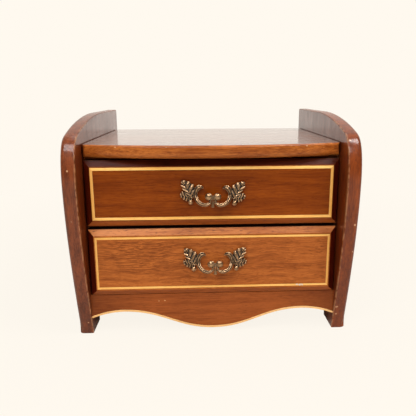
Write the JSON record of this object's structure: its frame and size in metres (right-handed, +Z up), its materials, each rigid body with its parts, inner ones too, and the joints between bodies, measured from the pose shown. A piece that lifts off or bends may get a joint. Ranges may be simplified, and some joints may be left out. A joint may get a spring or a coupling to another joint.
{
  "type": "vanity box with mirror",
  "caption": "Dresser-top vanity box with a bow-fronted lift-up lid, mirror under the lid, lined tray, inlaid drawers, scroll pulls, raised side panels and a serpentine apron.",
  "frame": {"origin": "on the floor under the middle of the box's bounding box", "axes": "+Z up, the front with the drawers faces -Y, +X to the right when facing the front"},
  "size_m": [0.277, 0.222, 0.2235],
  "materials": {
    "mahogany": "satin lacquer over reddish brown mahogany veneer",
    "carcass_wood": "stained mahogany board, matt",
    "drawer_wood": "unfinished light hardwood",
    "boxwood": "pale boxwood stringing under lacquer",
    "velvet": "wine red velvet",
    "antique_brass": "cast, darkened in the recesses",
    "brass": "bright, satin",
    "steel": "zinc plated",
    "mirror_glass": "silvered glass",
    "card": "grey board",
    "felt": "brown felt"
  },
  "bodies": {
    "carcass": {"side_panel_left": "mahogany", "side_panel_right": "mahogany", "back_panel": "carcass_wood", "base_board": "carcass_wood", "dust_board": "carcass_wood", "tray_floor": "carcass_wood", "tray_front_rail": "mahogany", "tray_cleat_left": "mahogany", "tray_cleat_right": "mahogany", "apron": "mahogany", "apron_edging": "boxwood", "glue_blocks": "drawer_wood", "drawer_stops": "drawer_wood", "tray_lining": "velvet", "tray_divider_left": "velvet", "tray_divider_right": "velvet", "tray_cross_dividers": "velvet", "ring_rolls": "velvet", "hinge_lower_leaf_left": "brass", "hinge_lower_leaf_right": "brass", "hinge_pins": "steel", "lower_leaf_screws": "brass", "back_panel_screws": "steel"},
    "lid": {"lid_board": "mahogany", "mirror_backing": "card", "mirror_glass": "mirror_glass", "mirror_bead_front": "mahogany", "mirror_bead_back": "mahogany", "mirror_bead_left": "mahogany", "mirror_bead_right": "mahogany", "hinge_upper_leaf_left": "brass", "hinge_upper_leaf_right": "brass", "upper_leaf_screws": "brass", "lid_bumpers": "felt"},
    "upper_drawer": {"upper_drawer_front": "mahogany", "upper_string_top": "boxwood", "upper_string_bottom": "boxwood", "upper_string_left": "boxwood", "upper_string_right": "boxwood", "upper_drawer_side_left": "drawer_wood", "upper_drawer_side_right": "drawer_wood", "upper_drawer_back": "drawer_wood", "upper_drawer_bottom": "drawer_wood", "upper_drawer_lining": "velvet", "upper_drawer_divider": "velvet", "upper_pull": "antique_brass", "upper_pull_screws": "steel"},
    "lower_drawer": {"lower_drawer_front": "mahogany", "lower_string_top": "boxwood", "lower_string_bottom": "boxwood", "lower_string_left": "boxwood", "lower_string_right": "boxwood", "lower_drawer_side_left": "drawer_wood", "lower_drawer_side_right": "drawer_wood", "lower_drawer_back": "drawer_wood", "lower_drawer_bottom": "drawer_wood", "lower_drawer_lining": "velvet", "lower_pull": "antique_brass", "lower_pull_screws": "steel"}
  },
  "joints": [
    {"name": "lid_hinge", "type": "hinge", "parent": "carcass", "child": "lid", "pos_m": [0, 0.1075, 0.184], "axis": [-1, 0, 0], "range_deg": [0, 95]},
    {"name": "upper_drawer_slide", "type": "slide", "parent": "carcass", "child": "upper_drawer", "axis": [0, -1, 0], "range_m": [0, 0.12]},
    {"name": "lower_drawer_slide", "type": "slide", "parent": "carcass", "child": "lower_drawer", "axis": [0, -1, 0], "range_m": [0, 0.12]}
  ]
}
